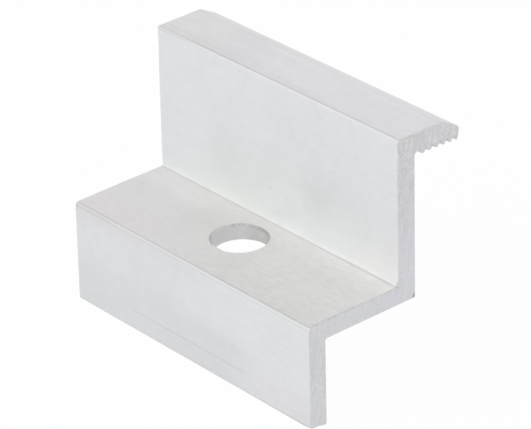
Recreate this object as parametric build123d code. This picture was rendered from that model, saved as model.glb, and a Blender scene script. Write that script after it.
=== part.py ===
from build123d import *
import math
import os

# Solar end clamp: one length of aluminium extrusion, sawn off square, with one hole drilled through its step.
# X runs along the extrusion, Y from the leg's front face towards the module, and Z up.
# The origin is the centre of the bolt hole's mouth, on top of the step.

# Cut piece
cut_length = 50.0
hole_short_of_middle = 0.6     # the hole was drilled this far from the middle of the cut, away from the +X end

# Heights above the foot's heel, which stands on the rail
step_height = 16.0             # top of the step, where the bolt head or its washer sits
lip_clearance = 35.6           # underside of the lip, over a module frame 35 mm deep
foot_slant = 3.5               # degrees: the foot slopes up from its heel towards the front

# Depths behind the leg's front face
hole_setback = 9.95
web_setback = 19.45            # back of the web, which the module frame stands against

# Walls
leg_thickness = 2.9
step_thickness = 2.65
web_thickness = 3.1
lip_thickness = 2.8

# Lip, past the back of the web
lip_flat_reach = 5.0           # the flat top ends here, in the ridge where the bevel starts
lip_reach = 8.3
lip_bevel_angle = 28.0
lip_tip_lean = 0.4             # the tip's end face leans in by this much from top to bottom

# Saw teeth under the lip
tooth_pitch = 1.26
tooth_depth = 0.62
tooth_root_drop = 0.16         # the roots lie this far below the underside next to the web
tooth_long_flank = 0.8         # run of the gentle flank, on the web's side of each tooth
tooth_tip_radius = 0.18
tooth_root_radius = 0.14

# Bolt hole, clearance for an M8 bolt
hole_diameter = 8.5

# Corner radii of the section
foot_toe_radius = 0.3
foot_heel_radius = 0.3
leg_inner_radius = 0.45
web_heel_radius = 0.5
lip_inner_radius = 0.5
lip_tip_radius = 0.7
ridge_radius = 1.2
web_crown_radius = 0.3
step_inner_radius = 0.15
step_nose_radius = 0.4

# Places that follow from the sizes above
leg_front = -hole_setback
leg_back = leg_front + leg_thickness
web_back = leg_front + web_setback
web_front = web_back - web_thickness
step_top = 0
step_underside = step_top - step_thickness
foot_heel = step_top - step_height
foot_toe = foot_heel + leg_thickness * math.tan(math.radians(foot_slant))
lip_underside = foot_heel + lip_clearance
lip_top = lip_underside + lip_thickness
ridge = web_back + lip_flat_reach
lip_end = web_back + lip_reach
far_end = hole_short_of_middle - cut_length / 2


def end_face_top():
    """Height of the corner where the bevel meets the lip's end face."""
    return lip_top - (lip_end - ridge) * math.tan(math.radians(lip_bevel_angle))


def tooth_corners():
    """Corners of the saw teeth from the web outwards, where the last tip ends the lip.

    The first gentle flank starts at the underside next to the web, past the inner corner's radius. The others
    start at the roots, which lie a little lower.
    """
    root = lip_underside - tooth_root_drop
    flank_slope = tooth_depth / tooth_long_flank
    first_flank = (tooth_depth + tooth_root_drop) / flank_slope
    root_rounding = tooth_root_radius * math.tan(math.atan(flank_slope) / 2)
    last_tip = lip_end - lip_tip_lean
    room = last_tip - first_flank - root_rounding - lip_inner_radius - web_back
    count = math.floor(room / tooth_pitch) + 1
    corners = []
    for i in range(count):
        tip = last_tip - (count - 1 - i) * tooth_pitch
        if i == 0:
            corners.append((tip - first_flank, lip_underside, tooth_root_radius))
        else:
            corners.append((tip - tooth_long_flank, root, tooth_root_radius))
        corners.append((tip, root - tooth_depth, tooth_tip_radius))
    return corners


def section_corners():
    """Corners of the section as (y, z, radius), once round from the front of the foot."""
    return [
        (leg_front, foot_toe, foot_toe_radius),
        (leg_back, foot_heel, foot_heel_radius),
        (leg_back, step_underside, leg_inner_radius),
        (web_back, step_underside, web_heel_radius),
        (web_back, lip_underside, lip_inner_radius),
        *tooth_corners(),
        (lip_end, end_face_top(), lip_tip_radius),
        (ridge, lip_top, ridge_radius),
        (web_front, lip_top, web_crown_radius),
        (web_front, step_top, step_inner_radius),
        (leg_front, step_top, step_nose_radius),
    ]


def section():
    """The section's outline as one face, drawn across X at the far cut."""
    corners = section_corners()
    points = [(y, z) for y, z, radius in corners]
    radii = [radius for y, z, radius in corners]
    with BuildSketch(Plane.YZ.offset(far_end)) as outline:
        with BuildLine():
            FilletPolyline(*points, radius=radii, close=True)
        make_face()
    return outline.sketch


def end_clamp():
    """The section pushed along the whole cut, then drilled straight down through the step at the origin."""
    with BuildPart() as clamp:
        extrude(section(), amount=cut_length)
        with Locations((0, 0, step_top)):
            Hole(hole_diameter / 2)
    return clamp.part


os.makedirs("parts", exist_ok=True)
export_step(end_clamp(), "parts/end_clamp.step")
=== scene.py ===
import math

import bpy
from mathutils import Matrix, Vector


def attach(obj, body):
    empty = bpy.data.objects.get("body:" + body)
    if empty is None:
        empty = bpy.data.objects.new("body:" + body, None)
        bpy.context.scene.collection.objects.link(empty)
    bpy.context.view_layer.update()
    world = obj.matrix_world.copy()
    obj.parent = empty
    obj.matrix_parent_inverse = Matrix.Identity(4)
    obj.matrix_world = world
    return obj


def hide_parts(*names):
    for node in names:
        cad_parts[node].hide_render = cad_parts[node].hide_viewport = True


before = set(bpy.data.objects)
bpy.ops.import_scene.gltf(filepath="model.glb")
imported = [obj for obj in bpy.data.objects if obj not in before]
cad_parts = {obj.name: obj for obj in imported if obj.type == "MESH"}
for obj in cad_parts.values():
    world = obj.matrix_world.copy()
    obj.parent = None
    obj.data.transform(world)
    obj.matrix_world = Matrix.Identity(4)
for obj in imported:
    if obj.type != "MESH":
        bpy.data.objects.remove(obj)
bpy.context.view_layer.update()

MM = 0.001

# Camera. A long lens looks down on the clamp from the front right, and is rolled slightly clockwise.
# The clamp fills most of the picture, with the sawn near end and the hole in full view.
CAMERA_PLACE = (329.19, -277.88, 234.14)     # mm
CAMERA_TURN = 49.337                         # degrees about Z
CAMERA_TILT = 28.153                         # degrees below the horizon
CAMERA_ROLL = -1.392
LENS = 238.05                                # mm, on a sensor 36 mm wide

camera_data = bpy.data.cameras.new("camera")
camera_data.sensor_fit = "HORIZONTAL"
camera_data.sensor_width = 36
camera_data.lens = LENS
camera_data.clip_start = 0.01
camera_data.clip_end = 20
camera = bpy.data.objects.new("camera", camera_data)
camera.matrix_world = (
    Matrix.Translation(Vector(CAMERA_PLACE) * MM)
    @ Matrix.Rotation(math.radians(CAMERA_TURN), 4, "Z")
    @ Matrix.Rotation(math.radians(90 - CAMERA_TILT), 4, "X")
    @ Matrix.Rotation(math.radians(CAMERA_ROLL), 4, "Z")
)
bpy.context.collection.objects.link(camera)
bpy.context.scene.camera = camera
bpy.context.scene.view_settings.view_transform = "Standard"


# The clamp's blank. Aluminium is pushed through a die, so every line of the section runs straight along X.
# Its corners are given as (y, z, radius) in millimetres, once round from the front of the foot.
CUT_LENGTH = 50.0
NEAR_CUT = 25.6
FAR_CUT = NEAR_CUT - CUT_LENGTH

LEG_FRONT = -9.95
LEG_BACK = -7.05
WEB_FRONT = 6.4
WEB_BACK = 9.5
STEP_UNDERSIDE = -2.65
FOOT_HEEL = -15.99
FOOT_SLANT = 3.5
LIP_UNDERSIDE = 19.5
LIP_TOP = 22.4
RIDGE = 14.5
LIP_END = 17.785
LIP_BEVEL = 28.0

TOOTH_COUNT = 6
TOOTH_PITCH = 1.26
TOOTH_ROOT = 19.39
TOOTH_TIP = 18.79
TOOTH_LONG_FLANK = 0.86
TOOTH_WEAR = 0.22
FIRST_FLANK = 1.006
LAST_TIP = LIP_END - 0.385


def section_corners():
    foot_toe = FOOT_HEEL + (LEG_BACK - LEG_FRONT) * math.tan(math.radians(FOOT_SLANT))
    end_face_top = LIP_TOP - (LIP_END - RIDGE) * math.tan(math.radians(LIP_BEVEL))
    first_tip = LAST_TIP - (TOOTH_COUNT - 1) * TOOTH_PITCH
    teeth = [(first_tip - FIRST_FLANK, LIP_UNDERSIDE, 0.14), (first_tip, TOOTH_TIP - 0.03, 0.36)]
    for i in range(1, TOOTH_COUNT):
        tip = first_tip + i * TOOTH_PITCH
        wear = TOOTH_WEAR * (i / (TOOTH_COUNT - 1)) ** 3
        teeth.append((tip - TOOTH_LONG_FLANK, TOOTH_ROOT - wear * 0.5, 0.2))
        teeth.append((tip, TOOTH_TIP - wear, 0.36 - i * 0.03))
    return [
        (LEG_FRONT, foot_toe, 0.36),
        (LEG_BACK, FOOT_HEEL, 0.2),
        (LEG_BACK, STEP_UNDERSIDE, 0.36),
        (WEB_BACK, STEP_UNDERSIDE, 0.15),
        (WEB_BACK - 0.07, LIP_UNDERSIDE, 0.5),
        *teeth,
        (LIP_END, end_face_top, 0.85),
        (RIDGE, LIP_TOP, 1.2),
        (WEB_FRONT, LIP_TOP, 0.3),
        (WEB_FRONT, 0.0, 0.15),
        (LEG_FRONT, 0.0, 0.4),
    ]


def far_cut_lean(y, z):
    """How far inside the square cut the saw ran at the far end, where the bar lay slightly askew in its vice."""
    return (z * 0.0102 - (y - WEB_FRONT) * 0.016 - 0.1).math("MAXIMUM", 0)


class Socket:
    """An output of a node, so that sums on it can be written as Python."""

    def __init__(self, nodes, out):
        self.nodes = nodes
        self.out = out

    def math(self, operation, *others):
        return self.nodes.add("ShaderNodeMath", {"operation": operation}, dict(enumerate((self, *others))))

    def __add__(self, other):
        return self.math("ADD", other)

    __radd__ = __add__

    def __mul__(self, other):
        return self.math("MULTIPLY", other)

    __rmul__ = __mul__

    def __sub__(self, other):
        return self.math("SUBTRACT", other)

    def __rsub__(self, other):
        return self.nodes.add("ShaderNodeMath", {"operation": "SUBTRACT"}, {0: other, 1: self})

    def __truediv__(self, other):
        return self.math("DIVIDE", other)

    def __pow__(self, other):
        return self.math("POWER", other)

    def __abs__(self):
        return self.math("ABSOLUTE")

    def __neg__(self):
        return self * -1

    def axes(self):
        split = self.nodes.add("ShaderNodeSeparateXYZ", {}, {0: self}).out.node
        return [Socket(self.nodes, axis) for axis in split.outputs]

    def ramp(self, low, high, smooth=True):
        """0 at low and 1 at high, held beyond both; low may be the greater."""
        kind = "SMOOTHSTEP" if smooth else "LINEAR"
        values = {"Value": self, "From Min": low, "From Max": high}
        return self.nodes.add("ShaderNodeMapRange", {"interpolation_type": kind}, values)

    def near(self, middle, reach):
        """1 at middle, falling to 0 at reach away from it."""
        return abs(self - middle).ramp(reach, 0)


class Nodes:
    """Adds nodes to one tree."""

    def __init__(self, tree):
        self.tree = tree

    def add(self, kind, settings=None, values=None, out=0):
        node = self.tree.nodes.new(kind)
        for name, setting in (settings or {}).items():
            setattr(node, name, setting)
        for key, value in (values or {}).items():
            if isinstance(value, Socket):
                self.tree.links.new(value.out, node.inputs[key])
            else:
                node.inputs[key].default_value = value
        return Socket(self, node.outputs[out])

    def vector(self, x, y, z):
        return self.add("ShaderNodeCombineXYZ", {}, {"X": x, "Y": y, "Z": z})

    def scaled(self, vector, amount):
        return self.add("ShaderNodeVectorMath", {"operation": "SCALE"}, {0: vector, "Scale": amount})

    def mixed(self, factor, under, over):
        """The colour under, and over where the factor is 1."""
        return self.add("ShaderNodeMix", {"data_type": "RGBA"}, {0: factor, 6: under, 7: over}, out=2)

    def noise(self, place, scale=1.0, detail=2.0, roughness=0.5):
        """Fractal noise about 0, mostly within -1 and 1."""
        values = {"Vector": place, "Scale": scale, "Detail": detail, "Roughness": roughness}
        return self.add("ShaderNodeTexNoise", {"normalize": False}, values)


def make_corner_loop():
    corners = section_corners()
    mesh = bpy.data.meshes.new("section_corners")
    edges = [(i, (i + 1) % len(corners)) for i in range(len(corners))]
    mesh.from_pydata([(y, z, 0) for y, z, radius in corners], edges, [])
    radii = mesh.attributes.new("corner_radius", "FLOAT", "POINT")
    radii.data.foreach_set("value", [radius for y, z, radius in corners])
    loop = bpy.data.objects.new("section_corners", mesh)
    bpy.context.collection.objects.link(loop)
    return loop


def make_extrusion_tree(inputs):
    """The nodes work in millimetres, first with the section in XY, and give the sawn and drilled clamp in metres."""
    tree = bpy.data.node_groups.new("sawn_and_drilled_extrusion", "GeometryNodeTree")
    tree.is_modifier = True
    tree.interface.new_socket("Section Corners", in_out="INPUT", socket_type="NodeSocketGeometry")
    for name, kind, default in inputs:
        socket = tree.interface.new_socket(name, in_out="INPUT", socket_type=kind)
        if default is not None:
            socket.default_value = default
    tree.interface.new_socket("Clamp", in_out="OUTPUT", socket_type="NodeSocketGeometry")
    nodes = Nodes(tree)
    entry = tree.nodes.new("NodeGroupInput")

    def given(name):
        return Socket(nodes, entry.outputs[name])

    position = nodes.add("GeometryNodeInputPosition")
    x, y, z = position.axes()

    # Corners rounded, and the flats between them split into narrow strips
    loop = nodes.add("GeometryNodeMeshToCurve", {}, {"Mesh": given("Section Corners")})
    radius = nodes.add("GeometryNodeInputNamedAttribute", {"data_type": "FLOAT"}, {"Name": "corner_radius"})
    rounded = nodes.add("GeometryNodeFilletCurve", {"mode": "POLY"}, {
        "Curve": loop, "Count": given("Corner Steps"), "Radius": radius})
    following = nodes.add("GeometryNodeOffsetPointInCurve", {}, {"Offset": 1}, out="Point Index")
    next_place = nodes.add("GeometryNodeFieldAtIndex", {"data_type": "FLOAT_VECTOR"}, {
        "Value": position, "Index": following})
    span = nodes.add("ShaderNodeVectorMath", {"operation": "DISTANCE"}, {0: position, 1: next_place}, out="Value")
    cuts = nodes.add("FunctionNodeFloatToInt", {"rounding_mode": "FLOOR"}, {"Float": span / given("Strip Width")})
    section = nodes.add("GeometryNodeSubdivideCurve", {}, {"Curve": rounded, "Cuts": cuts})

    # Pushed along the cut, with a little to spare at both ends and the rings of points crowding towards them
    line = nodes.add("GeometryNodeCurvePrimitiveLine", {}, {"End": (0, 0, 1)})
    rings = nodes.add("GeometryNodeResampleCurve", {"mode": "COUNT"}, {
        "Curve": line, "Count": given("Rings")})
    along = nodes.add("GeometryNodeSplineParameter", {}, out="Factor")
    half = given("Cut Length") / 2 + given("Saw Allowance")
    middle = given("Near Cut") - given("Cut Length") / 2
    spread = middle - half * (along * math.pi).math("COSINE")
    path = nodes.add("GeometryNodeSetPosition", {}, {"Geometry": rings, "Position": nodes.vector(0, 0, spread)})
    blank = nodes.add("GeometryNodeCurveToMesh", {}, {"Curve": path, "Profile Curve": section, "Fill Caps": True})
    blank = nodes.add("GeometryNodeSetPosition", {}, {"Geometry": blank, "Position": nodes.vector(z, x, y)})

    # Sawn: the part of the blank that lies inside a slab whose two faces carry the saw's marks
    slab = nodes.add("GeometryNodeMeshCube", {}, {
        "Size": nodes.vector(given("Cut Length"), 36, 46), "Vertices X": 2, "Vertices Y": 121, "Vertices Z": 155})
    side = x.math("SIGN")
    slab_y, slab_z = y + 3, z + 3
    lean = math.radians(78)
    across = slab_y * math.sin(lean) - slab_z * math.cos(lean) * side
    run = slab_y * math.cos(lean) * side + slab_z * math.sin(lean)
    marks = nodes.noise(nodes.vector(across * 1.1, run * 0.16, side * 7 + given("Seed")), 1.0, 3.0, 0.6)
    marks = marks.math("MINIMUM", 0.9).math("MAXIMUM", -0.9)
    inset = (marks - 1) * given("Saw Mark Depth") - far_cut_lean(slab_y, slab_z) * side.ramp(0, -1)
    slab = nodes.add("GeometryNodeSetPosition", {}, {
        "Geometry": slab, "Position": nodes.vector(x + side * inset + middle, slab_y, slab_z)})
    sawn = nodes.add("GeometryNodeMeshBoolean", {"operation": "INTERSECT", "solver": "MANIFOLD"})
    for piece in (blank, slab):
        tree.links.new(piece.out, sawn.out.node.inputs["Mesh 2"])

    # Drilled: the drill leaned a little, left a rough wall with its mouth just broken, and tore the far rim
    drill = nodes.add("GeometryNodeMeshCylinder", {}, {
        "Vertices": 160, "Side Segments": 44, "Radius": given("Hole Diameter") / 2, "Depth": 4.4})
    outward = nodes.add("ShaderNodeVectorMath", {"operation": "NORMALIZE"}, {0: nodes.vector(x, y, 0)})
    out_x, out_y, unused = outward.axes()
    height = z - 1.25
    mouth = height.ramp(-0.16, 0.04) * 0.07
    rough = nodes.noise(nodes.vector(x * 0.9, y * 0.9, height * 2.2), 1.0, 3.0, 0.6)
    tear = nodes.noise(nodes.vector(x * 1.5, y * 1.5, height * 0.9), 1.0, 3.0, 0.6)
    torn_rim = (out_x * -0.73 + out_y * 0.68).ramp(0.94, 0.985) * height.ramp(-0.75, -0.15)
    tongue = (out_y * -1).ramp(0.96, 0.99) * height.ramp(-0.4, -0.1) * 0.22
    taper = height.ramp(-0.9, -2.65, False) * 0.1
    swell = mouth + rough * 0.015 + torn_rim * (tear * 0.16 + 0.08).math("MAXIMUM", 0) - tongue - taper
    drill = nodes.add("GeometryNodeSetPosition", {}, {
        "Geometry": drill,
        "Position": nodes.vector(x + height * 0.02, y - height * 0.155, height),
        "Offset": nodes.scaled(outward, swell)})
    drilled = nodes.add("GeometryNodeMeshBoolean", {"operation": "DIFFERENCE", "solver": "MANIFOLD"}, {
        "Mesh 1": sawn, "Mesh 2": drill})

    # At the near cut the saw raised a ragged burr along two edges, rolled the lip's top edge down a little,
    # and broke a crumb out of the heel
    edge_angle = nodes.add("GeometryNodeInputMeshEdgeAngle", {}, out="Unsigned Angle")
    near_edge = edge_angle.ramp(0.6, 0.7) * x.ramp(NEAR_CUT - 0.14, NEAR_CUT - 0.1)
    unused, normal_y, normal_z = nodes.add("GeometryNodeInputNormal").axes()
    sideways = nodes.add("ShaderNodeVectorMath", {"operation": "NORMALIZE"}, {
        0: nodes.vector(0, normal_y, normal_z)})
    ragged = nodes.noise(nodes.vector(given("Seed"), y * 1.6, z * 1.6), 1.0, 3.0, 0.7)
    web_edge = y.near(WEB_FRONT, 0.4) * (z.ramp(7, 14) * z.ramp(20.2, 19.6) * 0.3 + z.near(21.8, 0.6) * 0.4)
    step_edge = z.near(0, 0.3) * y.ramp(-9.9, -9.5) * y.ramp(6.2, 5.9) * (y.ramp(-0.5, -2.5) * 0.5 + 0.85)
    burr = web_edge * (ragged * 1.1 + 0.6).math("MAXIMUM", 0) + step_edge * (ragged * 0.4 + 1)
    burr = burr * given("Burr Height")
    burred = nodes.add("GeometryNodeSetPosition", {}, {
        "Geometry": drilled, "Offset": nodes.scaled(sideways, burr * near_edge)})
    lip_edge = y.ramp(8.6, 10.2) * y.ramp(15.2, 13.6) * z.ramp(LIP_TOP - 0.9, LIP_TOP)
    rolled = lip_edge * x.ramp(NEAR_CUT - 0.5, NEAR_CUT) * (ragged * 0.12 + 0.18)
    from_heel = nodes.add("ShaderNodeVectorMath", {"operation": "DISTANCE"}, {
        0: position, 1: (NEAR_CUT, WEB_BACK - 0.15, STEP_UNDERSIDE + 0.15)}, out="Value")
    crumb = from_heel.ramp(0.55, 0.1)
    worn_toe = x.ramp(NEAR_CUT - 1.5, NEAR_CUT) * z.ramp(-15.2, -15.7) * y.ramp(LEG_BACK - 0.3, LEG_BACK - 1.6) * 0.14
    rolled = nodes.add("GeometryNodeSetPosition", {}, {
        "Geometry": burred, "Offset": nodes.vector(crumb * -0.05, 0, worn_toe - rolled)})

    # Curved walls shade smoothly, and every edge sharper than a fillet's facets stays crisp
    smooth = nodes.add("GeometryNodeSetShadeSmooth", {"domain": "FACE"}, {"Geometry": rolled})
    sharp = nodes.add("FunctionNodeCompare", {"operation": "LESS_THAN"}, {"A": edge_angle, "B": math.radians(32)})
    smooth = nodes.add("GeometryNodeSetShadeSmooth", {"domain": "EDGE"}, {
        "Geometry": smooth, "Shade Smooth": sharp})
    scaled = nodes.add("GeometryNodeTransform", {}, {"Geometry": smooth, "Scale": (MM, MM, MM)})
    realized = nodes.add("GeometryNodeRealizeInstances", {}, {"Geometry": scaled})
    finished = nodes.add("GeometryNodeSetMaterial", {}, {"Geometry": realized, "Material": given("Material")})
    leave = tree.nodes.new("NodeGroupOutput")
    tree.links.new(finished.out, leave.inputs["Clamp"])
    return tree


def make_mill_finish():
    """Bare aluminium as the die leaves it, the saw's coarser faces, and the drilled wall."""
    material = bpy.data.materials.new("mill_finish")
    material.use_nodes = True
    material.node_tree.nodes.clear()
    shade = Nodes(material.node_tree)
    place = shade.scaled(shade.add("ShaderNodeTexCoord", {}, {}, out="Object"), 1 / MM)
    x, y, z = place.axes()

    def from_point(*point):
        return shade.add("ShaderNodeVectorMath", {"operation": "DISTANCE"}, {0: place, 1: point}, out="Value")

    # Where on the clamp: the two sawn ends, the drilled wall, and the faces that the die drew
    near_cut = x.ramp(NEAR_CUT - 0.1, NEAR_CUT - 0.05)
    far_cut = (x - far_cut_lean(y, z)).ramp(FAR_CUT + 0.1, FAR_CUT + 0.05)
    sawn = (near_cut + far_cut).math("MINIMUM", 1)
    from_drill = (x * x + (y + z * 0.14) ** 2).math("SQRT")
    drilled = from_drill.ramp(4.62, 4.52) * z.ramp(-0.04, -0.1) * (1 - sawn)
    drawn = (1 - sawn) * (1 - drilled)
    leg_face = y.ramp(-9.8, -9.9)
    web_face = y.near(WEB_FRONT, 0.5) * z.ramp(0.05, 0.2)
    step_face = z.near(0, 0.5) * y.ramp(6.45, 6.3) * y.ramp(-9.85, -9.7)
    lip_face = z.ramp(20.4, 20.6) * y.ramp(6.35, 6.6)

    # Each drawn face has its own cast, and painted light and shade, with some real tone, lighten and darken it slowly
    # from end to end
    warm = (x + y * 1.3).ramp(-17, -7) + shade.noise(place, 0.35, 2.0) * 0.45
    step_cast = shade.mixed(warm, STEP_LEFT, STEP_RIGHT)
    foot_reach = z - x.ramp(-24, -8, False) * 8.5 + x.ramp(8, 20) * 2.5 - shade.noise(place, 0.3, 2.0) * 1.5
    web_cast = shade.mixed(foot_reach.ramp(1.6, 0.2) * (1 - x.ramp(2, 10) * 0.45), WEB_CAST, WEB_FOOT)
    web_cast = shade.mixed((x * 0.6 - z).ramp(7.0, 10.5), web_cast, WEB_CORNER)
    leg_corner = z.ramp(-9.5, -12.5) * x.ramp(12, 19)
    leg_cast = shade.mixed(leg_corner, LEG_CAST, LEG_CORNER)
    colour = shade.mixed(web_face, leg_cast, web_cast)
    colour = shade.mixed(step_face, colour, step_cast)
    lip_cast = shade.mixed(x.ramp(-13, -17), LIP_CAST, LIP_FAR)
    colour = shade.mixed(lip_face, colour, lip_cast)
    from_nose = y - z - LEG_FRONT
    pink = y.ramp(-3.4, -5.8) * x.ramp(-5, -11) * (z.ramp(-3.5, -0.5) * 0.5 + z.ramp(-0.4, -0.1) * 0.5)
    colour = shade.mixed(pink, colour, STEP_PINK)
    warm_nose = from_nose.ramp(0.8, 0.35) * z.ramp(1, 0.5) * x.ramp(-13, -19) * 0.8
    colour = shade.mixed(warm_nose, colour, NOSE_FAR)
    wall_cast = shade.mixed((x * 0.652 + y * 0.758).ramp(0, 2.5), WALL_CAST, WALL_RIGHT)
    colour = shade.mixed(drilled, colour, wall_cast)
    leg_end = y.ramp(-6.9, -7.1) * z.ramp(-1.0, -3.0)
    browner = (shade.noise(place, 0.3, 2.0) * 0.6 + y.ramp(15.6, 16.2) * 0.6 + y.ramp(9.0, 7.2) * z.ramp(9, 14) * 0.3
               + y.ramp(12, 9) * z.ramp(20.8, 21.6) * 0.4 + z.near(14, 4) * 0.15
               - y.near(12.5, 3) * z.ramp(18, 19) * 0.25 - 0.14)
    bluer = z.ramp(6, 1) * shade.noise(place, 0.4, 2.0).ramp(-0.35, 0.25)
    sawn_cast = shade.mixed(browner.ramp(-0.1, 0.25), SAWN_VIOLET, SAWN_BROWN)
    sawn_cast = shade.mixed(bluer, sawn_cast, SAWN_BLUE)
    leg_grey = leg_end * (1 - y.ramp(-8.3, -7.6) * z.near(-5.5, 4.5) * 0.9)
    sawn_cast = shade.mixed(leg_grey, sawn_cast, SAWN_GREY)
    colour = shade.mixed(sawn, colour, sawn_cast)
    # Painted light low on the web, brightest towards the inner corner where light bounces off the step, a painted dark
    # reflection on the web, and a painted highlight under the crown at the far end
    web_painted_reflection = from_point(10.5, WEB_FRONT, 7.8).ramp(6.0, 0.5) * 0.026
    web_corner_painted_light = from_point(3.5, WEB_FRONT, 3.5).ramp(7.0, 1.0) * 0.06
    web_shade = (z.ramp(8, 0) * x.ramp(-24, 24, False) * 0.04 + z.ramp(1.6, 0.1) * x.ramp(25.5, 18) * 0.035
                 - from_point(-10, WEB_FRONT, 7).ramp(6.5, 1.0) * 0.026 + x.ramp(10, 20) * z.ramp(7, 2) * 0.012
                 + from_point(11.5, WEB_FRONT, 4.2).ramp(6.0, 1.0) * 0.026
                 + from_point(-2, WEB_FRONT, 2.3).ramp(3.5, 0.5) * 0.024
                 + z.ramp(3.5, 0.5) * 0.012 + web_corner_painted_light - web_painted_reflection + 0.012
                 + z.near(22.12, 0.25) * x.ramp(-18, -14) * 0.05 + x.ramp(15, 23) * z.ramp(8, 14) * 0.01)
    leg_shade = (x.ramp(-6, 8) * 0.025 - z.ramp(-6, -10.5) * (x.ramp(18, 9) * 0.035 + x.near(7, 8) * 0.02)
                 - leg_corner * 0.018 + 0.005 - z.ramp(-3.4, -1.6) * x.ramp(8, -8) * 0.018
                 - z.ramp(-1.2, -0.5) * x.ramp(-13, -19) * 0.014)
    # Painted light on the step beside the web, where light bounces in the inner corner
    step_shade = (y.ramp(0.5, 6) * (x.ramp(4, 13) * 0.035 + 0.028) + x.ramp(-8, -14) * 0.01
                  - y.ramp(-2, -9) * x.ramp(-8, 10) * 0.03 - from_drill.ramp(6.0, 4.3) * 0.015 - 0.01
                  + y.near(3.0, 2.6) * x.ramp(-5, -14) * 0.032 - from_point(-8, -0.3, 0).ramp(5.0, 1.0) * 0.02
                  - from_point(5, -5, 0).ramp(4.0, 1.0) * 0.02 - from_nose.near(0.45, 0.17) * x.ramp(-10, -17) * 0.06)
    # Painted highlight on the lip's bevel, and darker along the lip's front edge
    lip_shade = (x.ramp(-12, 0) * 0.028 - x.ramp(4, 18) * 0.01 - y.ramp(8.8, 7.2) * (x.ramp(12, 5) * 0.017 + 0.021)
                 - y.near(8.8, 1.3) * x.ramp(5, -8) * x.ramp(-21, -15) * 0.026 + y.near(13.6, 0.9) * (x.near(-4, 9) * 0.03 + x.near(16, 7) * 0.022)
                 + y.ramp(14.9, 15.6) * 0.02 + 0.005)
    # Painted light and shade on each drawn face, mixed with its tone
    painted_light_and_tone = web_shade * web_face + leg_shade * leg_face + step_shade * step_face + lip_shade * lip_face

    # Die lines run the whole length, short drag marks lie along them, and fine pits and clouds cover them
    long_lines = shade.noise(shade.vector(x * 0.035, y * 2.6, z * 2.6), 1.0, 3.0, 0.6)
    drag = shade.noise(shade.vector(x * 0.42 + y * 0.15, y * 2.2, z * 2.2), 1.0, 4.0, 0.65)
    clouds = shade.noise(place, 0.16, 3.0, 0.55)
    mottle = shade.noise(place, 0.75, 4.0, 0.65)
    grain = shade.noise(place, 3.2, 2.0, 0.6)
    pits = shade.noise(place, 2.6, 2.0, 0.5).ramp(0.32, 0.6)
    dragged = step_face * (x.ramp(-14, 6) * 0.03 + 0.016) + lip_face * 0.012 + 0.006
    fine = (long_lines * 0.012 + drag * dragged + clouds * 0.014 + mottle * (step_face * x.ramp(-6, 8) * 0.014 + 0.016) + grain * 0.012
            - pits * (from_point(2, WEB_FRONT, 16).ramp(9, 2) * 0.03 + 0.012))

    # The saw's steep scratches over a granular cut, rougher towards the lip, with a painted shadow under the teeth, and
    # the drill's rings with painted shade on the bored wall
    lean = math.radians(78)
    across = y * math.sin(lean) - z * math.cos(lean)
    run = y * math.cos(lean) + z * math.sin(lean)
    scratches = shade.noise(shade.vector(x * 0.2, across * 1.9, run * 0.2), 1.0, 2.0, 0.6)
    crumbs = shade.noise(place, 2.2, 3.0, 0.65)
    coarse = z.ramp(4, 15) * 0.6 + z.ramp(16, 19) * 0.3 + leg_end * 0.5 + 0.7
    score = (y - 8.2 - (z - 20) * 0.22).near(0, 0.32) * z.ramp(18.6, 19.4) * 0.08
    streak = (y.near(-9.35, 0.4) * z.near(-6.8, 2.6) + y.near(-7.5, 0.25) * z.near(-6.0, 3.5) * 0.7) * (scratches + 0.6)
    from_tip = ((LAST_TIP - y) / TOOTH_PITCH).math("FRACT") * TOOTH_PITCH
    # Painted shadow just under the teeth, above each long flank
    tooth_shadow = (z - from_tip * 0.75 - TOOTH_TIP).ramp(0.4, 0.15) * from_tip.ramp(0.2, 0.5) * from_tip.ramp(1.0, 0.8)
    tooth_shadow = tooth_shadow * y.ramp(9.8, 10.4)
    saw_grain_and_shadow = ((scratches * 0.06 + crumbs * 0.06) * coarse + z.ramp(14, 1) * 0.042 - leg_end * (z.ramp(-14, -9) * 0.018 + 0.008)
           - streak * 0.09 - score - tooth_shadow * 0.11 + z.ramp(17, 20) * 0.016 + 0.015)
    rings = shade.noise(shade.vector(x * 0.35, y * 0.35, z * 2.4), 1.0, 3.0, 0.6)
    round_wall = x * 0.652 + y * 0.758
    # Painted shade on the bored wall: darker under the rim and towards both ends of its seen part, lighter in the
    # middle and high on the left
    wall_rim_shade = (z.ramp(-0.8, -0.35) * round_wall.ramp(-1.6, -0.4) * (crumbs * 0.1 + 0.05)
                + z.ramp(-1.25, -0.35) * round_wall.ramp(0.3, 3) * 0.11 + z.ramp(-1.0, -0.3) * round_wall.near(3.2, 0.9) * 0.05
                + round_wall.ramp(3.2, 4.15) * 0.16 + round_wall.ramp(-3.75, -4.2) * 0.16)
    rings_and_wall_shade = rings * 0.02 + crumbs * 0.03 + round_wall.near(0.3, 2.8) * 0.065 + round_wall.ramp(-1, 1) * 0.022 - wall_rim_shade - 0.015
    rings_and_wall_shade = rings_and_wall_shade + z.ramp(-1.0, -0.1) * round_wall.near(-2.6, 1.8) * 0.07
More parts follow.
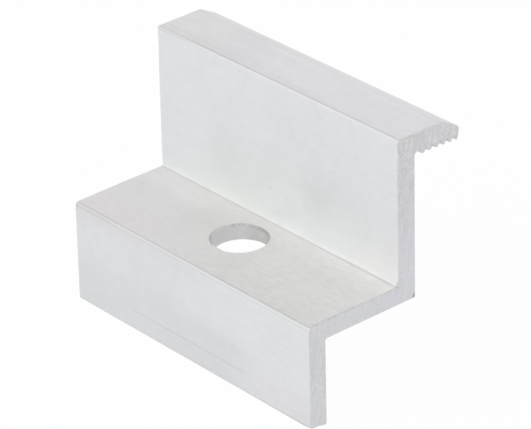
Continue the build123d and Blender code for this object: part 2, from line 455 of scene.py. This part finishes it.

    # Painted shade darkens each fillet, dimming its highlight, and the crease of the inner corner; the nose is darker
    # still towards the far end, and a few lines and marks stand alone
    nose_shade = z.ramp(-0.5, -0.2) * 0.015 + y.ramp(-9.7, -9.85) * x.ramp(-12, -19) * 0.02 + 0.09
    nose_shade = nose_shade * from_nose.ramp(0.58, 0.38) * z.ramp(1, 0.5)
    under_nose_shade = y.ramp(-9.7, -9.85) * z.ramp(-0.62, -0.3) * z.ramp(-0.02, -0.15)
    nose_shade = nose_shade + under_nose_shade * (x.ramp(-14, -20) * 0.02 + 0.03)
    nose_shade = nose_shade + from_point(FAR_CUT, LEG_FRONT, -0.7).ramp(0.9, 0.2) * 0.1
    crown_shade = (LIP_TOP - z + y - WEB_FRONT).ramp(0.5, 0.28) * (1 - lip_face * x.ramp(-15, -20) * 0.6)
    crown_shade = crown_shade * (z.ramp(LIP_TOP - 0.3, LIP_TOP) * 0.035 + 0.1)
    crown_shade = crown_shade + z.ramp(LIP_TOP - 0.55, LIP_TOP - 0.25) * web_face * x.ramp(-15, -20) * 0.06
    crease_shade = y.ramp(5.9, 6.15) * y.ramp(6.45, 6.4) * z.ramp(0.16, 0.02) * z.ramp(-0.5, -0.2) * (x.ramp(11, 17) * 0.06 + 0.11)
    toe_shade = z.ramp(-15.3, -15.55) * leg_face * x.ramp(8, 24) * 0.13
    die_line = z.near(-12.6, 0.25) * x.ramp(-16, -9) * x.ramp(14, 10) * leg_face * 0.08
    web_lines = (z.near(12.05, 0.14) * x.ramp(-12, -6) * 0.025 - z.near(11.85, 0.12) * x.ramp(-12, -6) * 0.02
                 - z.near(12.75, 0.12) * x.ramp(4, 14) * 0.025 + z.near(19.0, 0.12) * x.ramp(17, 22) * 0.02) * web_face
    lip_lines = (y.near(7.9, 0.3) * x.ramp(-6, -13) * 0.03 + y.near(14.1, 0.22) * (x.ramp(16, 23) * 0.02 + 0.012)) * lip_face
    spots = shade.add("ShaderNodeTexVoronoi", {}, {"Vector": place, "Scale": 0.27}, out="Distance")
    specks = spots.ramp(0.075, 0.03) * 0.07
    # The marks hold the painted shade of the fillets together with the real lines and specks
    marks = web_lines - nose_shade - crown_shade - crease_shade - toe_shade - die_line - lip_lines - specks

    # Painted shadow of the burr along the near cut, painted shade in the inner corner at the cut and in the crumb
    # broken from the heel, and a painted shadow under the drill's torn rim
    ragged = shade.noise(shade.vector(x * 0.3, y * 1.3, z * 1.3), 1.0, 3.0, 0.7)
    at_cut = x.ramp(NEAR_CUT - 0.35, NEAR_CUT - 0.12)
    step_burr_shadow = z.near(0.12, 0.24) * y.ramp(-9.6, -9.2) * y.ramp(6.2, 5.4) * (ragged + 0.75).math("MAXIMUM", 0) * 0.11
    lip_burr_shadow = z.near(LIP_TOP - 0.1, 0.3) * y.ramp(6.8, 8.0) * y.ramp(14.5, 12.5) * (ragged + 0.4).math("MAXIMUM", 0) * 0.16
    web_burr_shading = y.near(WEB_FRONT, 0.3) * z.ramp(7, 13) * ragged * 0.05
    inner_corner_shade = from_point(NEAR_CUT, WEB_FRONT, 0.35).ramp(0.75, 0.3) * 0.2
    cut_edge_shade = (step_burr_shadow + lip_burr_shadow + web_burr_shading) * at_cut + inner_corner_shade * (1 - sawn * 0.8)
    # Painted shade in the nick where the crumb broke from the heel
    crumb = from_point(NEAR_CUT, WEB_BACK + 0.02, STEP_UNDERSIDE + 0.24).ramp(0.66, 0.2) * 0.47
    torn_rim_shadow = (x * -0.73 + y * 0.68).ramp(3.92, 4.14) * z.ramp(-0.75, -0.2) * from_drill.ramp(4.9, 4.7)
    torn_rim_shadow = torn_rim_shadow * (crumbs * 0.1 + 0.075) * drilled

    change = (painted_light_and_tone + fine + marks) * drawn + saw_grain_and_shadow * sawn + rings_and_wall_shade * drilled - cut_edge_shade - crumb - torn_rim_shadow
    colour = shade.scaled(colour, change + 1)

    # Gloss and relief
    gloss = fine * drawn + saw_grain_and_shadow * sawn * 0.6 + ROUGHNESS
    relief = (long_lines * 0.0014 + drag * 0.0012 + grain * 0.001) * drawn + rings_and_wall_shade * drilled * 0.1
    relief = relief + (scratches * 0.012 + crumbs * 0.009) * sawn - die_line * 0.06
    bump = shade.add("ShaderNodeBump", {}, {"Strength": 1.0, "Distance": MM, "Height": relief})

    principled = shade.add("ShaderNodeBsdfPrincipled", {}, {
        "Base Color": colour, "Metallic": 1.0, "Roughness": gloss, "Normal": bump})
    output = material.node_tree.nodes.new("ShaderNodeOutputMaterial")
    material.node_tree.links.new(principled.out, output.inputs["Surface"])
    return material


ROUGHNESS = 0.66
LEG_CAST = (0.779, 0.788, 0.800, 1)
LEG_CORNER = (0.786, 0.783, 0.797, 1)
WEB_CAST = (0.780, 0.790, 0.803, 1)
WEB_FOOT = (0.780, 0.793, 0.788, 1)
WEB_CORNER = (0.792, 0.790, 0.793, 1)
STEP_LEFT = (0.786, 0.780, 0.788, 1)
STEP_RIGHT = (0.788, 0.784, 0.769, 1)
STEP_PINK = (0.793, 0.775, 0.785, 1)
NOSE_FAR = (0.800, 0.786, 0.765, 1)
LIP_CAST = (0.788, 0.785, 0.799, 1)
LIP_FAR = (0.796, 0.793, 0.795, 1)
SAWN_VIOLET = (0.770, 0.764, 0.799, 1)
SAWN_BROWN = (0.776, 0.767, 0.777, 1)
SAWN_BLUE = (0.766, 0.772, 0.793, 1)
SAWN_GREY = (0.768, 0.777, 0.784, 1)
WALL_CAST = (0.80, 0.80, 0.797, 1)
WALL_RIGHT = (0.80, 0.80, 0.775, 1)
material = make_mill_finish()

EXTRUSION_INPUTS = [
    ("Corner Steps", "NodeSocketInt", 6),
    ("Strip Width", "NodeSocketFloat", 0.3),
    ("Rings", "NodeSocketInt", 45),
    ("Cut Length", "NodeSocketFloat", CUT_LENGTH),
    ("Near Cut", "NodeSocketFloat", NEAR_CUT),
    ("Saw Allowance", "NodeSocketFloat", 0.06),
    ("Saw Mark Depth", "NodeSocketFloat", 0.02),
    ("Hole Diameter", "NodeSocketFloat", 8.5),
    ("Burr Height", "NodeSocketFloat", 0.25),
    ("Seed", "NodeSocketFloat", 3.0),
    ("Material", "NodeSocketMaterial", None),
]
extrusion_tree = make_extrusion_tree(EXTRUSION_INPUTS)
corner_loop = make_corner_loop()
modifier = corner_loop.modifiers.new("extrusion", "NODES")
modifier.node_group = extrusion_tree
for item in extrusion_tree.interface.items_tree:
    if item.in_out == "INPUT" and item.name == "Material":
        modifier[item.identifier] = material

evaluated = corner_loop.evaluated_get(bpy.context.evaluated_depsgraph_get())
clamp_mesh = bpy.data.meshes.new_from_object(evaluated)
clamp_mesh.name = "extruded_clamp"
clamp = bpy.data.objects.new("extruded_clamp", clamp_mesh)
bpy.context.collection.objects.link(clamp)
corner_loop.modifiers.clear()
bpy.data.objects.remove(corner_loop)
clamp_mesh.materials.pop(index=0)
clamp_mesh.attributes.remove(clamp_mesh.attributes["corner_radius"])

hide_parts("end_clamp")
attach(clamp, "root")


# Studio. A plain white floor under the foot, a white room, and one large soft lamp at the front left.
floor_mesh = bpy.data.meshes.new("floor")
floor_z = -16.0 * MM
floor_mesh.from_pydata([(-2, -2, floor_z), (2, -2, floor_z), (2, 2, floor_z), (-2, 2, floor_z)], [], [(0, 1, 2, 3)])
floor = bpy.data.objects.new("floor", floor_mesh)
bpy.context.collection.objects.link(floor)

floor_paint = bpy.data.materials.new("floor_paint")
floor_paint.use_nodes = True
floor_paint.node_tree.nodes.clear()
paint = Nodes(floor_paint.node_tree)
path = paint.add("ShaderNodeLightPath")
camera_ray = Socket(paint, path.out.node.outputs["Is Camera Ray"])
glossy_ray = Socket(paint, path.out.node.outputs["Is Glossy Ray"])
transmission_ray = Socket(paint, path.out.node.outputs["Is Transmission Ray"])
straight = camera_ray.math("MAXIMUM", transmission_ray)
shown = straight * 0.96 + glossy_ray * 0.8
matt = paint.add("ShaderNodeBsdfDiffuse", {}, {"Color": (0.9, 0.9, 0.9, 1)})
glow = paint.add("ShaderNodeEmission", {}, {"Color": (1, 1, 1, 1), "Strength": straight * 0.2 + 0.8})
mixed = paint.add("ShaderNodeMixShader", {}, {0: shown, 1: matt, 2: glow})
floor_out = floor_paint.node_tree.nodes.new("ShaderNodeOutputMaterial")
floor_paint.node_tree.links.new(mixed.out, floor_out.inputs["Surface"])
floor_paint.cycles.emission_sampling = "NONE"
floor_mesh.materials.append(floor_paint)

world = bpy.data.worlds.new("white_room")
bpy.context.scene.world = world
world.use_nodes = True
world.node_tree.nodes.clear()
room = Nodes(world.node_tree)
path = room.add("ShaderNodeLightPath")
camera_ray = Socket(room, path.out.node.outputs["Is Camera Ray"])
glossy_ray = Socket(room, path.out.node.outputs["Is Glossy Ray"])
transmission_ray = Socket(room, path.out.node.outputs["Is Transmission Ray"])
strength = camera_ray.math("MAXIMUM", transmission_ray) * 0.2 + glossy_ray * 0.1 + 0.8
background = room.add("ShaderNodeBackground", {}, {"Color": (1, 1, 1, 1), "Strength": strength})
world_out = world.node_tree.nodes.new("ShaderNodeOutputWorld")
world.node_tree.links.new(background.out, world_out.inputs["Surface"])
world.cycles.sampling_method = "NONE"

lamp_data = bpy.data.lights.new("softbox", "AREA")
lamp_data.shape = "RECTANGLE"
lamp_data.size = 0.69
lamp_data.size_y = 0.44
lamp_data.energy = 1.05
lamp = bpy.data.objects.new("softbox", lamp_data)
toward = Vector((-0.427, -0.837, 0.342))
lamp.location = toward * 0.6
lamp.rotation_euler = toward.to_track_quat("Z", "Y").to_euler()
bpy.context.collection.objects.link(lamp)
